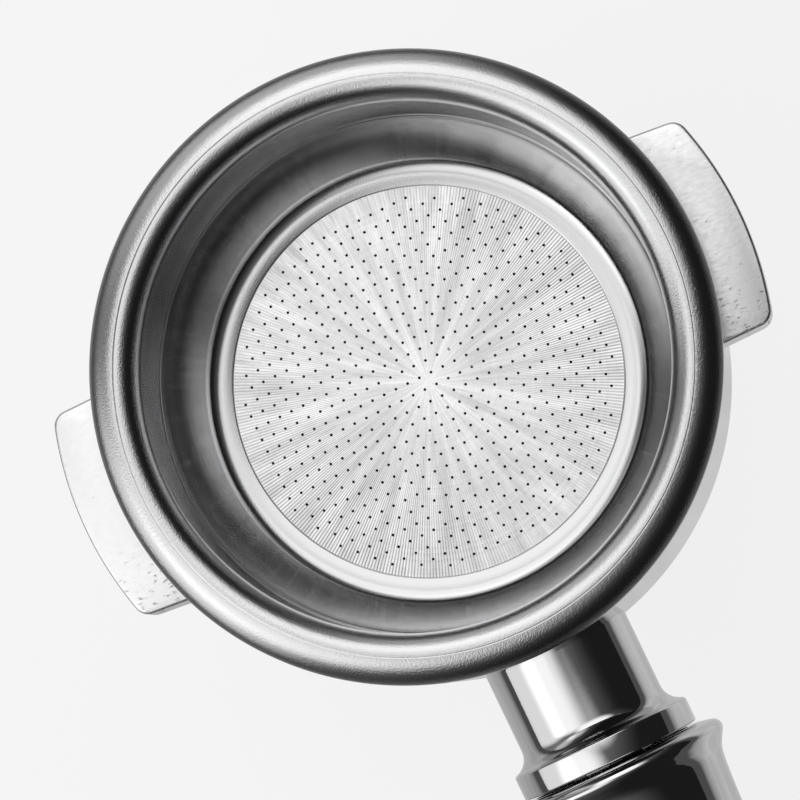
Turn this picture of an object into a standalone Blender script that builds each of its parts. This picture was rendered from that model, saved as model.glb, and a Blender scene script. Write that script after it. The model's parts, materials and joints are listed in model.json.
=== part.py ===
"""Portafilter for a 58 mm espresso group: holder casting, filter basket, double spout and handle.

Frame: metres, +Z up. The origin is the centre of the basket rim's top face, +X runs towards the
handle, and the two bayonet lugs point along +Y and -Y. The group holds the rim level in use, with
the handle just below level; put down on a table the part leans onto the thick end of its grip.
"""
import math

import bmesh
import bpy
from mathutils import Matrix, Vector

MM = 0.001
GAP = 0.3 * MM                      # clearance that neighbouring pieces keep
END_GAP = 0.5 * MM                  # from a threaded end to the floor of its hole

BIG_SEGMENTS = 48                   # facets round the holder and the basket
MID_SEGMENTS = 28                   # facets round the neck, ferrule, grip and spout hub
SMALL_SEGMENTS = 20                 # facets round stud, washers and spout tubes
NUT_SEGMENTS = 24                   # points round a nut, a multiple of six
SHARP_ANGLE = math.radians(32)
CHAMFER = 0.6 * MM                  # on turned edges of stud and spout hub

# Filter basket: pressed sheet with a rolled lip
RIM_RADIUS = 35.0 * MM
SHEET = 0.7 * MM
LIP_DEPTH = 3.2 * MM                # how far the roll's edge hangs below the rim's top
LAND_WIDTH = 1.1 * MM               # flat sealing land on the lip's crest
CUP_RADIUS = 29.5 * MM              # inside of the straight wall
LIP_ROLL = (RIM_RADIUS - CUP_RADIUS - LAND_WIDTH) / 2
CUP_WALL_DEPTH = 14.5 * MM          # where the straight wall ends
CUP_DEPTH = 25.0 * MM               # top of the perforated floor
FLOOR_RADIUS = 22.6 * MM            # flat floor inside its corner fillet
FOOT_LEAN = math.radians(45)        # lean of the sheet where the curved wall meets that fillet

# Holder casting
RING_RADIUS = 34.6 * MM
RING_EDGE = 0.6 * MM
BORE_RADIUS = 30.9 * MM
RING_TOP = -(LIP_DEPTH + GAP)
HOLDER_CURVE = 8.0 * MM             # radius that walls and floor turn on, inside and outside
BOWL_FLOOR = -35.0 * MM
UNDERSIDE = -38.5 * MM
UNDERSIDE_FALL = 0.6 * MM           # the underside slopes down this much towards the boss
OUTLET_RADIUS = 5.0 * MM
OUTLET_RIM = 0.4 * MM               # drop of the bowl's floor at the outlet's edge
BOSS_RADIUS = 12.0 * MM
BOSS_FILLET = 1.0 * MM
BOSS_FACE = -42.5 * MM
THREAD_RADIUS = 8.4 * MM            # G3/8 outlet thread, drawn plain
THREAD_TOP = -37.1 * MM

# Bayonet lugs
LUG_REACH = 40.45 * MM
LUG_HALF_WIDTH = 12.75 * MM
LUG_TOP = -7.0 * MM
LUG_THICKNESS = 5.0 * MM
LUG_ROOT = 33.3 * MM                # radius of its inner edge, buried in the ring's wall
LUG_SIDE_START = math.sqrt(LUG_ROOT ** 2 - LUG_HALF_WIDTH ** 2)
LUG_TAPER = math.radians(6)         # lean of the trailing side face
LUG_CORNER = 1.8 * MM               # rounding between a side and the outer edge
LUG_EDGE = 0.4 * MM                 # rounding along the top and bottom edges

# Retaining spring in its groove
SPRING_HEIGHT = -9.0 * MM
SPRING_WIRE = 0.6 * MM              # wire radius
SPRING_RADIUS = 31.15 * MM
SPRING_OPENING = math.radians(34)
GROOVE_RADIUS = 32.1 * MM
GROOVE_HALF_HEIGHT = 1.2 * MM

# Handle axis: it crosses the holder's axis at AXIS_HEIGHT and droops by HANDLE_DROOP
HANDLE_DROOP = math.radians(2.5)
NECK_HEIGHT = -28.0 * MM            # axis height at the holder's outer wall
AXIS_HEIGHT = NECK_HEIGHT + RIM_RADIUS * math.tan(HANDLE_DROOP)
HANDLE_MATRIX = Matrix.Translation((0, 0, AXIS_HEIGHT)) @ Matrix.Rotation(math.pi / 2 + HANDLE_DROOP, 4, "Y")

# Stations along the handle axis, counted from the holder's axis
NECK_START = 31.2 * MM
NECK_RADIUS = 8.8 * MM
NECK_FLARE = 2.4 * MM               # radius of the hollow curve up to the collar
COLLAR_RADIUS = 10.8 * MM
COLLAR_START = 45.25 * MM
COLLAR_END = 48.2 * MM
COLLAR_EDGE = 0.3 * MM
FERRULE_START = COLLAR_END + GAP
FERRULE_FACE_RADIUS = 11.2 * MM
FERRULE_END = 70.0 * MM
FERRULE_OUTLINE = (                 # a rounded bead at the neck, then a slow waist
    (48.6 * MM, 11.5 * MM),
    (48.9 * MM, 12.6 * MM),
    (49.3 * MM, 13.15 * MM),
    (49.8 * MM, 13.3 * MM),
    (50.4 * MM, 13.1 * MM),
    (51.1 * MM, 12.7 * MM),
    (51.9 * MM, 12.25 * MM),
    (52.8 * MM, 12.0 * MM),
    (54.8 * MM, 11.8 * MM),
    (58.6 * MM, 11.55 * MM),
    (63.5 * MM, 11.3 * MM),
    (67.0 * MM, 11.35 * MM),
    (FERRULE_END, 11.5 * MM),
)
NECK_WASHER_RADIUS = 9.3 * MM
NECK_WASHER_HEIGHT = 1.0 * MM
TENON_RADIUS = 9.0 * MM
TENON_START = 64.3 * MM
GRIP_START = 72.0 * MM
GRIP_END = 200.0 * MM
GRIP_OUTLINE = (
    (GRIP_START, 11.5 * MM),
    (76 * MM, 12.0 * MM),
    (92 * MM, 12.6 * MM),
    (112 * MM, 13.5 * MM),
    (136 * MM, 14.6 * MM),
    (160 * MM, 15.4 * MM),
    (178 * MM, 15.5 * MM),
    (190 * MM, 14.9 * MM),
    (196.5 * MM, 13.6 * MM),
    (GRIP_END, 11.8 * MM),
)

# Stud and what it carries
STUD_RADIUS = 5.0 * MM              # M10
STUD_START = 37.5 * MM
STUD_END = 190.5 * MM
STUD_HOLE = STUD_RADIUS + GAP
NUT_POCKET = 9.8 * MM
NUT_POCKET_START = 178.0 * MM
NUT_ACROSS_FLATS = 16.0 * MM
NUT_HEIGHT = 8.0 * MM
WASHER_RADIUS = 9.3 * MM
WASHER_HEIGHT = 1.6 * MM
BUSH_RADIUS = 7.4 * MM
BUSH_START = 64.6 * MM
BUSH_END = 84.0 * MM

# Rubber rings
FERRULE_RING_RADIUS = 10.2 * MM
FERRULE_RING_WIRE = 0.7 * MM
CAP_RING_RADIUS = 9.0 * MM
CAP_RING_WIRE = 0.5 * MM
CAP_RING_STATION = 196.5 * MM

# End cap
CAP_RADIUS = 11.2 * MM
CAP_HEIGHT = 3.2 * MM
CAP_EDGE = 0.8 * MM                 # straight edge below the dome
CAP_SPIGOT_START = 192.5 * MM
CAP_SPIGOT_RADIUS = NUT_POCKET - GAP
CAP_SPIGOT_BORE = 6.4 * MM
CAP_BORE_DEPTH = 2.0 * MM

# Double spout
GASKET_TOP = BOSS_FACE - GAP
GASKET_HEIGHT = 1.0 * MM
LOCK_NUT_TOP = GASKET_TOP - GASKET_HEIGHT - GAP
LOCK_NUT_HEIGHT = 3.5 * MM
LOCK_NUT_ACROSS_FLATS = 22.0 * MM
NIPPLE_RADIUS = THREAD_RADIUS - GAP
NIPPLE_TOP = THREAD_TOP - END_GAP
HUB_TOP = LOCK_NUT_TOP - LOCK_NUT_HEIGHT - GAP
HUB_RADIUS = 10.0 * MM
CHANNEL_RADIUS = 4.5 * MM
CHANNEL_OVERRUN = 1.0 * MM          # how far the channel is cut past the cross port and the nipple
PORT_HEIGHT = HUB_TOP - 6.0 * MM
HUB_STRAIGHT = PORT_HEIGHT - 2.0 * MM       # the hub turns under below this height
HUB_BOTTOM = PORT_HEIGHT - 6.2 * MM
PORT_REACH = 12.0 * MM
STUB_RADIUS = 5.6 * MM
TUBE_RADIUS = 5.3 * MM
TUBE_BORE = 4.0 * MM
TUBE_BEND = 6.5 * MM                # centreline radius of the tube's bend
TUBE_TIP = 3.6 * MM                 # straight length below the bend


def clear_scene():
    for item in list(bpy.data.objects):
        bpy.data.objects.remove(item, do_unlink=True)


def finish_material(name, colour, roughness, metallic):
    """Principled material named for the piece that carries it."""
    finish = bpy.data.materials.new(name)
    finish.use_nodes = True
    shader = finish.node_tree.nodes["Principled BSDF"]
    shader.inputs["Base Color"].default_value = (*colour, 1.0)
    shader.inputs["Roughness"].default_value = roughness
    shader.inputs["Metallic"].default_value = metallic
    return finish


def chrome(name):
    return finish_material(name, (0.78, 0.78, 0.79), 0.08, 1.0)


def satin_steel(name):
    return finish_material(name, (0.62, 0.62, 0.63), 0.28, 1.0)


def brass(name):
    return finish_material(name, (0.72, 0.53, 0.25), 0.3, 1.0)


def black_rubber(name):
    return finish_material(name, (0.02, 0.02, 0.02), 0.7, 0.0)


def black_plastic(name):
    return finish_material(name, (0.015, 0.015, 0.016), 0.22, 0.0)


def add_object(name, mesh, finish=None, matrix=None):
    """Object of a bmesh, with outward faces and smooth round surfaces."""
    bmesh.ops.recalc_face_normals(mesh, faces=mesh.faces)
    data = bpy.data.meshes.new(name)
    mesh.to_mesh(data)
    mesh.free()
    data.shade_smooth()
    data.set_sharp_from_angle(angle=SHARP_ANGLE)
    if finish:
        data.materials.append(finish)
    item = bpy.data.objects.new(name, data)
    bpy.context.scene.collection.objects.link(item)
    if matrix:
        item.matrix_world = matrix
    return item


def combine(target, tool, operation):
    """Boolean on target; the tool stays behind as a hidden wire guide."""
    tool.hide_render = True
    tool.display_type = "WIRE"
    cut = target.modifiers.new(tool.name, "BOOLEAN")
    cut.operation = operation
    cut.object = tool


def arc(centre, radii, start, end, steps):
    """Points on an elliptic arc in the (radius, height) plane, angles in degrees."""
    points = []
    for step in range(steps + 1):
        angle = math.radians(start + (end - start) * step / steps)
        radius = centre[0] + radii[0] * math.cos(angle)
        height = centre[1] + radii[1] * math.sin(angle)
        points.append((radius, height))
    return points


def turned(outline, segments):
    """Outline of (radius, height) points turned about Z. One that ends on the axis isn't closed there."""
    mesh = bmesh.new()
    corners = [mesh.verts.new((radius, 0, height)) for radius, height in outline]
    edges = [mesh.edges.new(pair) for pair in zip(corners, corners[1:])]
    if outline[0][0] > 0:
        edges.append(mesh.edges.new((corners[-1], corners[0])))
    bmesh.ops.spin(
        mesh, geom=corners + edges, cent=(0, 0, 0), axis=(0, 0, 1), angle=2 * math.pi,
        steps=segments, use_merge=True,
    )
    bmesh.ops.remove_doubles(mesh, verts=mesh.verts, dist=0.001 * MM)
    return mesh


def tube_outline(outer, inner, bottom, top):
    return [(inner, top), (outer, top), (outer, bottom), (inner, bottom)]


def sheet_outline(face, thickness):
    """Closed outline of a bent sheet: its visible face, then the back, offset to the right of travel."""
    back = []
    for index, (radius, height) in enumerate(face):
        before = Vector(face[max(index - 1, 0)])
        after = Vector(face[min(index + 1, len(face) - 1)])
        travel = (after - before).normalized()
        back.append((radius + travel.y * thickness, height - travel.x * thickness))
    return face + back[::-1]


def hexagon_ring(across_flats, bore, bottom, top, segments):
    """Nut blank: a hexagonal outside and a round bore, both with the same number of points."""
    mesh = bmesh.new()
    rings = []
    for height, hexagonal in ((top, False), (top, True), (bottom, True), (bottom, False)):
        ring = []
        for step in range(segments):
            angle = 2 * math.pi * step / segments
            to_flat = (angle % (math.pi / 3)) - math.pi / 6
            radius = across_flats / 2 / math.cos(to_flat) if hexagonal else bore
            ring.append(mesh.verts.new((radius * math.cos(angle), radius * math.sin(angle), height)))
        rings.append([mesh.edges.new((ring[i - 1], ring[i])) for i in range(segments)])
    for index, ring in enumerate(rings):
        bmesh.ops.bridge_loops(mesh, edges=rings[index - 1] + ring)
    return mesh


def rubber_ring(name, ring_radius, wire_radius, station, matrix, steps):
    outline = arc((ring_radius, station), (wire_radius, wire_radius), 0, 360, steps)[:-1]
    return add_object(name, turned(outline, MID_SEGMENTS), black_rubber(name), matrix)


def cup_curves():
    """Radii of the curved wall and of the floor's fillet, which meet at FOOT_LEAN without a crease."""
    run = CUP_RADIUS - FLOOR_RADIUS
    drop = CUP_DEPTH - CUP_WALL_DEPTH
    along = math.sin(FOOT_LEAN)
    aside = 1 - math.cos(FOOT_LEAN)
    wall_curve = (drop * along - run * aside) / (along ** 2 - aside ** 2)
    corner_curve = (run - aside * wall_curve) / along
    return wall_curve, corner_curve


def basket_face():
    """Visible face of the basket sheet, from under the rolled lip to the middle of the floor."""
    face = [(RIM_RADIUS, -LIP_DEPTH)]
    face += arc((RIM_RADIUS - LIP_ROLL, -LIP_ROLL), (LIP_ROLL, LIP_ROLL), 0, 90, 4)
    face += arc((CUP_RADIUS + LIP_ROLL, -LIP_ROLL), (LIP_ROLL, LIP_ROLL), 90, 180, 4)
    wall_curve, corner_curve = cup_curves()
    lean = -math.degrees(FOOT_LEAN)
    wall_centre = (CUP_RADIUS - wall_curve, -CUP_WALL_DEPTH)
    face += arc(wall_centre, (wall_curve, wall_curve), 0, lean, 4)
    corner_centre = (FLOOR_RADIUS, -CUP_DEPTH + corner_curve)
    face += arc(corner_centre, (corner_curve, corner_curve), lean, -90, 2)[1:]
    face.append((0, -CUP_DEPTH))
    return face


def build_basket():
    outline = sheet_outline(basket_face()[::-1], SHEET)
    return add_object("filter_basket", turned(outline, BIG_SEGMENTS), satin_steel("filter_basket"))


def holder_outline():
    """Section through the holder's wall: out along the top, down the outside, back up the bore."""
    curve = (HOLDER_CURVE, HOLDER_CURVE)
    outline = [(BORE_RADIUS + RING_EDGE, RING_TOP)]
    outline += arc((RING_RADIUS - RING_EDGE, RING_TOP - RING_EDGE), (RING_EDGE, RING_EDGE), 90, 0, 2)
    outline += arc((RING_RADIUS - HOLDER_CURVE, UNDERSIDE + HOLDER_CURVE), curve, 0, -90, 6)
    fillet_centre = (BOSS_RADIUS + BOSS_FILLET, UNDERSIDE - UNDERSIDE_FALL - BOSS_FILLET)
    outline += arc(fillet_centre, (BOSS_FILLET, BOSS_FILLET), 90, 180, 2)
    outline += [(BOSS_RADIUS, BOSS_FACE), (THREAD_RADIUS, BOSS_FACE)]
    outline += [(THREAD_RADIUS, THREAD_TOP), (OUTLET_RADIUS, THREAD_TOP)]
    outline.append((OUTLET_RADIUS, BOWL_FLOOR - OUTLET_RIM))
    outline += arc((BORE_RADIUS - HOLDER_CURVE, BOWL_FLOOR + HOLDER_CURVE), curve, -90, 0, 6)
    groove_bottom = SPRING_HEIGHT - GROOVE_HALF_HEIGHT
    groove_top = SPRING_HEIGHT + GROOVE_HALF_HEIGHT
    outline += [(BORE_RADIUS, groove_bottom), (GROOVE_RADIUS, groove_bottom)]
    outline += [(GROOVE_RADIUS, groove_top), (BORE_RADIUS, groove_top)]
    outline.append((BORE_RADIUS, RING_TOP - RING_EDGE))
    return outline


def lug_corner(lean):
    """Centre of the rounding between the outer edge and a side at -X that leans in by this angle."""
    along = Vector((math.sin(lean), math.cos(lean)))
    inward = Vector((math.cos(lean), -math.sin(lean)))
    start = Vector((-LUG_HALF_WIDTH, LUG_SIDE_START)) + LUG_CORNER * inward
    reach = start.dot(along)
    travel = math.sqrt(reach ** 2 - start.length_squared + (LUG_REACH - LUG_CORNER) ** 2) - reach
    return start + travel * along


def lug_blank(name, turn):
    """One bayonet lug: a flat wing with a concentric outer edge, one straight and one leaning side."""
    straight = lug_corner(0)
    straight.x = -straight.x
    leaning = lug_corner(LUG_TAPER)
    start = math.degrees(math.atan2(straight.y, straight.x))
    end = math.degrees(math.atan2(leaning.y, leaning.x))
    rounding = (LUG_CORNER, LUG_CORNER)
    root = math.degrees(math.acos(LUG_HALF_WIDTH / LUG_ROOT))
    corners = arc((0, 0), (LUG_ROOT, LUG_ROOT), 180 - root, root, 4)
    corners += arc(straight, rounding, 0, start, 4)
    corners += arc((0, 0), (LUG_REACH, LUG_REACH), start, end, 8)[1:-1]
    corners += arc(leaning, rounding, end, 180 - math.degrees(LUG_TAPER), 4)
    mesh = bmesh.new()
    face = mesh.faces.new([mesh.verts.new((x, y, LUG_TOP - LUG_THICKNESS)) for x, y in corners])
    raised = bmesh.ops.extrude_face_region(mesh, geom=[face])["geom"]
    top = [item for item in raised if isinstance(item, bmesh.types.BMVert)]
    bmesh.ops.translate(mesh, verts=top, vec=(0, 0, LUG_THICKNESS))
    lug = add_object(name, mesh, matrix=Matrix.Rotation(turn, 4, "Z"))
    edges = lug.modifiers.new("edges", "BEVEL")
    edges.width = LUG_EDGE
    edges.segments = 2
    edges.limit_method = "ANGLE"
    edges.angle_limit = math.radians(50)
    return lug


def neck_blank():
    """Neck of the handle: a plain round bar that flares into the collar that the handle seats on."""
    flare_centre = (NECK_RADIUS + NECK_FLARE, COLLAR_START - NECK_FLARE)
    edge_centre = (COLLAR_RADIUS - COLLAR_EDGE, COLLAR_END - COLLAR_EDGE)
    outline = [(0, NECK_START), (NECK_RADIUS, NECK_START)]
    outline += arc(flare_centre, (NECK_FLARE, NECK_FLARE), 180, 105, 4)
    outline.append((COLLAR_RADIUS, COLLAR_START))
    outline += arc(edge_centre, (COLLAR_EDGE, COLLAR_EDGE), 0, 90, 2)
    outline.append((0, COLLAR_END))
    return add_object("neck_blank", turned(outline, MID_SEGMENTS), matrix=HANDLE_MATRIX)


def stud_hole():
    floor = STUD_START - END_GAP
    outline = [(0, floor), (STUD_HOLE, floor)]
    outline += [(STUD_HOLE, FERRULE_START), (0, FERRULE_START)]
    return add_object("stud_hole", turned(outline, SMALL_SEGMENTS), matrix=HANDLE_MATRIX)


def build_holder():
    body = add_object("body_casting", turned(holder_outline(), BIG_SEGMENTS), chrome("body_casting"))
    combine(body, neck_blank(), "UNION")
    combine(body, lug_blank("lug_blank_plus_y", 0), "UNION")
    combine(body, lug_blank("lug_blank_minus_y", math.pi), "UNION")
    combine(body, stud_hole(), "DIFFERENCE")
    return body


def build_spring():
    """Spring wire bent to a ring with one opening, on the side away from the handle."""
    curve = bpy.data.curves.new("retaining_spring", "CURVE")
    curve.dimensions = "3D"
    curve.bevel_depth = SPRING_WIRE
    curve.bevel_resolution = 1
    curve.use_fill_caps = True
    steps = 44
    wire = curve.splines.new("POLY")
    wire.points.add(steps)
    sweep = 2 * math.pi - SPRING_OPENING
    for step in range(steps + 1):
        angle = math.pi + SPRING_OPENING / 2 + sweep * step / steps
        position = (SPRING_RADIUS * math.cos(angle), SPRING_RADIUS * math.sin(angle), SPRING_HEIGHT)
        wire.points[step].co = (*position, 1)
    curve.materials.append(satin_steel("retaining_spring"))
    bpy.context.scene.collection.objects.link(bpy.data.objects.new("retaining_spring", curve))


def build_stud():
    tip_radius = STUD_RADIUS - CHAMFER
    outline = [(0, STUD_START), (tip_radius, STUD_START), (STUD_RADIUS, STUD_START + CHAMFER)]
    outline += [(STUD_RADIUS, STUD_END - CHAMFER), (tip_radius, STUD_END), (0, STUD_END)]
    add_object("handle_stud", turned(outline, SMALL_SEGMENTS), satin_steel("handle_stud"), HANDLE_MATRIX)


def build_neck_washer():
    """Washer in a recess of the ferrule's face."""
    start = COLLAR_END + GAP
    outline = tube_outline(NECK_WASHER_RADIUS, STUD_HOLE, start, start + NECK_WASHER_HEIGHT)
    add_object("neck_washer", turned(outline, MID_SEGMENTS), black_plastic("neck_washer"), HANDLE_MATRIX)


def build_ferrule():
    """Chromed ferrule: recessed for the neck washer, bored for the stud, cupped over the tenon."""
    socket_radius = TENON_RADIUS + GAP
    recess_radius = NECK_WASHER_RADIUS + GAP
    recess_floor = COLLAR_END + NECK_WASHER_HEIGHT + 2 * GAP
    outline = [(STUD_HOLE, recess_floor), (recess_radius, recess_floor)]
    outline.append((recess_radius, FERRULE_START))
    outline.append((FERRULE_FACE_RADIUS, FERRULE_START))
    outline += [(radius, station) for station, radius in FERRULE_OUTLINE]
    outline += [(socket_radius, FERRULE_END), (socket_radius, TENON_START - GAP)]
    outline.append((STUD_HOLE, TENON_START - GAP))
    add_object("handle_ferrule", turned(outline, MID_SEGMENTS), chrome("handle_ferrule"), HANDLE_MATRIX)


def build_grip():
    """Turned grip: bush pocket in its tenon, clearance hole for the stud, nut pocket at its end."""
    outline = [(radius, station) for station, radius in GRIP_OUTLINE]
    outline += [(NUT_POCKET, GRIP_END), (NUT_POCKET, NUT_POCKET_START)]
    outline += [(STUD_HOLE, NUT_POCKET_START), (STUD_HOLE, BUSH_END + GAP)]
    outline += [(BUSH_RADIUS + GAP, BUSH_END + GAP), (BUSH_RADIUS + GAP, TENON_START)]
    outline += [(TENON_RADIUS, TENON_START), (TENON_RADIUS, GRIP_START)]
    add_object("handle_grip", turned(outline, MID_SEGMENTS), black_plastic("handle_grip"), HANDLE_MATRIX)


def build_bush():
    outline = tube_outline(BUSH_RADIUS, STUD_HOLE, BUSH_START, BUSH_END)
    add_object("grip_bush", turned(outline, SMALL_SEGMENTS), brass("grip_bush"), HANDLE_MATRIX)


def build_end_washer():
    bottom = NUT_POCKET_START + GAP
    outline = tube_outline(WASHER_RADIUS, STUD_HOLE, bottom, bottom + WASHER_HEIGHT)
    add_object("end_washer", turned(outline, SMALL_SEGMENTS), satin_steel("end_washer"), HANDLE_MATRIX)


def build_end_nut():
    bottom = NUT_POCKET_START + 2 * GAP + WASHER_HEIGHT
    mesh = hexagon_ring(NUT_ACROSS_FLATS, STUD_HOLE, bottom, bottom + NUT_HEIGHT, NUT_SEGMENTS)
    add_object("end_nut", mesh, satin_steel("end_nut"), HANDLE_MATRIX)


def build_end_cap():
    """Domed cap whose grooved spigot pushes into the nut pocket."""
    face = GRIP_END + GAP
    groove_floor = CAP_RING_RADIUS - CAP_RING_WIRE - GAP
    groove_low = CAP_RING_STATION - CAP_RING_WIRE - GAP
    groove_high = CAP_RING_STATION + CAP_RING_WIRE + GAP
    bore_floor = CAP_SPIGOT_START + CAP_BORE_DEPTH
    outline = [(0, bore_floor), (CAP_SPIGOT_BORE, bore_floor)]
    outline += [(CAP_SPIGOT_BORE, CAP_SPIGOT_START), (CAP_SPIGOT_RADIUS, CAP_SPIGOT_START)]
    outline += [(CAP_SPIGOT_RADIUS, groove_low), (groove_floor, groove_low)]
    outline += [(groove_floor, groove_high), (CAP_SPIGOT_RADIUS, groove_high)]
    outline += [(CAP_SPIGOT_RADIUS, face), (CAP_RADIUS, face)]
    outline += arc((0, face + CAP_EDGE), (CAP_RADIUS, CAP_HEIGHT - CAP_EDGE), 0, 90, 6)[:-1]
    outline.append((0, face + CAP_HEIGHT))
    add_object("end_cap", turned(outline, MID_SEGMENTS), chrome("end_cap"), HANDLE_MATRIX)


def build_rubber_rings():
    station = (FERRULE_END + GRIP_START) / 2
    rubber_ring("ferrule_o_ring", FERRULE_RING_RADIUS, FERRULE_RING_WIRE, station, HANDLE_MATRIX, 8)
    rubber_ring("end_cap_o_ring", CAP_RING_RADIUS, CAP_RING_WIRE, CAP_RING_STATION, HANDLE_MATRIX, 6)


def build_gasket():
    outline = tube_outline(BOSS_RADIUS, THREAD_RADIUS, GASKET_TOP - GASKET_HEIGHT, GASKET_TOP)
    add_object("spout_gasket", turned(outline, MID_SEGMENTS), black_rubber("spout_gasket"))


def build_lock_nut():
    bottom = LOCK_NUT_TOP - LOCK_NUT_HEIGHT
    mesh = hexagon_ring(LOCK_NUT_ACROSS_FLATS, THREAD_RADIUS, bottom, LOCK_NUT_TOP, NUT_SEGMENTS)
    add_object("spout_lock_nut", mesh, chrome("spout_lock_nut"))


def cross_cylinder(name, radius, half_length, segments):
    """Cylinder along Y through the spout hub's ports."""
    outline = [(0, -half_length), (radius, -half_length), (radius, half_length), (0, half_length)]
    matrix = Matrix.Translation((0, 0, PORT_HEIGHT)) @ Matrix.Rotation(math.pi / 2, 4, "X")
    return add_object(name, turned(outline, segments), matrix=matrix)


def build_hub():
    """Hub of the double spout: threaded nipple, round head and two side ports."""
    outline = [(0, NIPPLE_TOP), (NIPPLE_RADIUS - CHAMFER, NIPPLE_TOP)]
    outline += [(NIPPLE_RADIUS, NIPPLE_TOP - CHAMFER), (NIPPLE_RADIUS, HUB_TOP)]
    outline += [(HUB_RADIUS - CHAMFER, HUB_TOP), (HUB_RADIUS, HUB_TOP - CHAMFER)]
    outline += arc((0, HUB_STRAIGHT), (HUB_RADIUS, HUB_STRAIGHT - HUB_BOTTOM), 0, -90, 6)[:-1]
    outline.append((0, HUB_BOTTOM))
    hub = add_object("spout_hub", turned(outline, MID_SEGMENTS), chrome("spout_hub"))
    combine(hub, cross_cylinder("port_stub", STUB_RADIUS, PORT_REACH, SMALL_SEGMENTS), "UNION")
    channel_low = PORT_HEIGHT - CHANNEL_OVERRUN
    channel_high = NIPPLE_TOP + CHANNEL_OVERRUN
    channel = [(0, channel_low), (CHANNEL_RADIUS, channel_low)]
    channel += [(CHANNEL_RADIUS, channel_high), (0, channel_high)]
    combine(hub, add_object("hub_channel", turned(channel, SMALL_SEGMENTS)), "DIFFERENCE")
    bore_reach = PORT_REACH + CHANNEL_OVERRUN
    combine(hub, cross_cylinder("port_bore", TUBE_BORE, bore_reach, SMALL_SEGMENTS), "DIFFERENCE")


def build_spout_tube(name, turn):
    """Bent tube: out of the hub's port, through a right angle, and straight down to its tip."""
    start = PORT_REACH + GAP
    mesh = bmesh.new()
    place = Matrix.Translation((0, start, PORT_HEIGHT)) @ Matrix.Rotation(math.pi / 2, 4, "X")
    for radius in (TUBE_RADIUS, TUBE_BORE):
        bmesh.ops.create_circle(mesh, segments=SMALL_SEGMENTS, radius=radius, matrix=place)
    faces = bmesh.ops.bridge_loops(mesh, edges=mesh.edges[:])["faces"]
    centre = (0, start, PORT_HEIGHT - TUBE_BEND)
    bend = bmesh.ops.spin(
        mesh, geom=faces, cent=centre, axis=(-1, 0, 0), angle=math.pi / 2, steps=6, use_merge=False,
    )
    end_faces = [item for item in bend["geom_last"] if isinstance(item, bmesh.types.BMFace)]
    lowered = bmesh.ops.extrude_face_region(mesh, geom=end_faces)["geom"]
    tip = [item for item in lowered if isinstance(item, bmesh.types.BMVert)]
    bmesh.ops.translate(mesh, verts=tip, vec=(0, 0, -TUBE_TIP))
    bmesh.ops.delete(mesh, geom=end_faces, context="FACES")
    add_object(name, mesh, chrome(name), Matrix.Rotation(turn, 4, "Z"))


def main():
    clear_scene()
    build_basket()
    build_holder()
    build_spring()
    build_stud()
    build_neck_washer()
    build_ferrule()
    build_grip()
    build_bush()
    build_end_washer()
    build_end_nut()
    build_end_cap()
    build_rubber_rings()
    build_gasket()
    build_lock_nut()
    build_hub()
    build_spout_tube("spout_tube_left", 0)
    build_spout_tube("spout_tube_right", math.pi)


main()
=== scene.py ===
"""Looks of the portafilter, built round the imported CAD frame.

Metres, +Z up, origin at the centre of the basket rim's top. +X runs to the handle, the lugs are on +Y and -Y.
"""
import json
import math

import bmesh
import bpy
from mathutils import Matrix, Vector, geometry


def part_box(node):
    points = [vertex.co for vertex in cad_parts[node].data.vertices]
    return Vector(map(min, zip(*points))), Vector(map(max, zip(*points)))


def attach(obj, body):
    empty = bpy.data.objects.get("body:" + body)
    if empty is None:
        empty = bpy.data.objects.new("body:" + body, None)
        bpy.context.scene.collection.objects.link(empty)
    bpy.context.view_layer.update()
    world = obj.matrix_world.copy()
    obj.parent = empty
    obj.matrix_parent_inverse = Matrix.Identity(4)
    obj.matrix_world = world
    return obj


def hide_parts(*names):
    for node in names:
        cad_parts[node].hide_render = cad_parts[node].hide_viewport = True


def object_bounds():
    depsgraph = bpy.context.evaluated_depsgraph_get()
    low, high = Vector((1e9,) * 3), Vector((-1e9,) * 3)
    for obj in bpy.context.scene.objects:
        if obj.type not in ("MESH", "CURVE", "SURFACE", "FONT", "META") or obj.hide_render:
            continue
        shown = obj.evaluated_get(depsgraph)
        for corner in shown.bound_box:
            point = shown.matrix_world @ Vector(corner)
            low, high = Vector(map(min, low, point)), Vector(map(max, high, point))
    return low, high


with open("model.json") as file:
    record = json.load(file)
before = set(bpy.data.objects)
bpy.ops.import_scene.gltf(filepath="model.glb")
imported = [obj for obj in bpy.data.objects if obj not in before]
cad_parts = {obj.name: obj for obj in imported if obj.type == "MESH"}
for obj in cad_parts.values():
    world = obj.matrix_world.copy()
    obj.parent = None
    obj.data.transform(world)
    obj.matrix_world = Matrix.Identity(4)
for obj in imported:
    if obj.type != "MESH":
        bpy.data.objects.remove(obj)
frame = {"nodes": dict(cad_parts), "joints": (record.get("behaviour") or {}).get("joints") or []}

CAD_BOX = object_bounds()
MM = 0.001
MICRON = 0.001 * MM
SHARP_ANGLE = math.radians(35)
WELD = 0.0002 * MM                      # points of a turned outline this close to each other are joined
TOUCH = 0.02 * MM                       # a point this close to a surface counts as on it
HANDLE_SEGMENTS = 128                   # round grip, ferrule, end cap and spout hub

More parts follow.
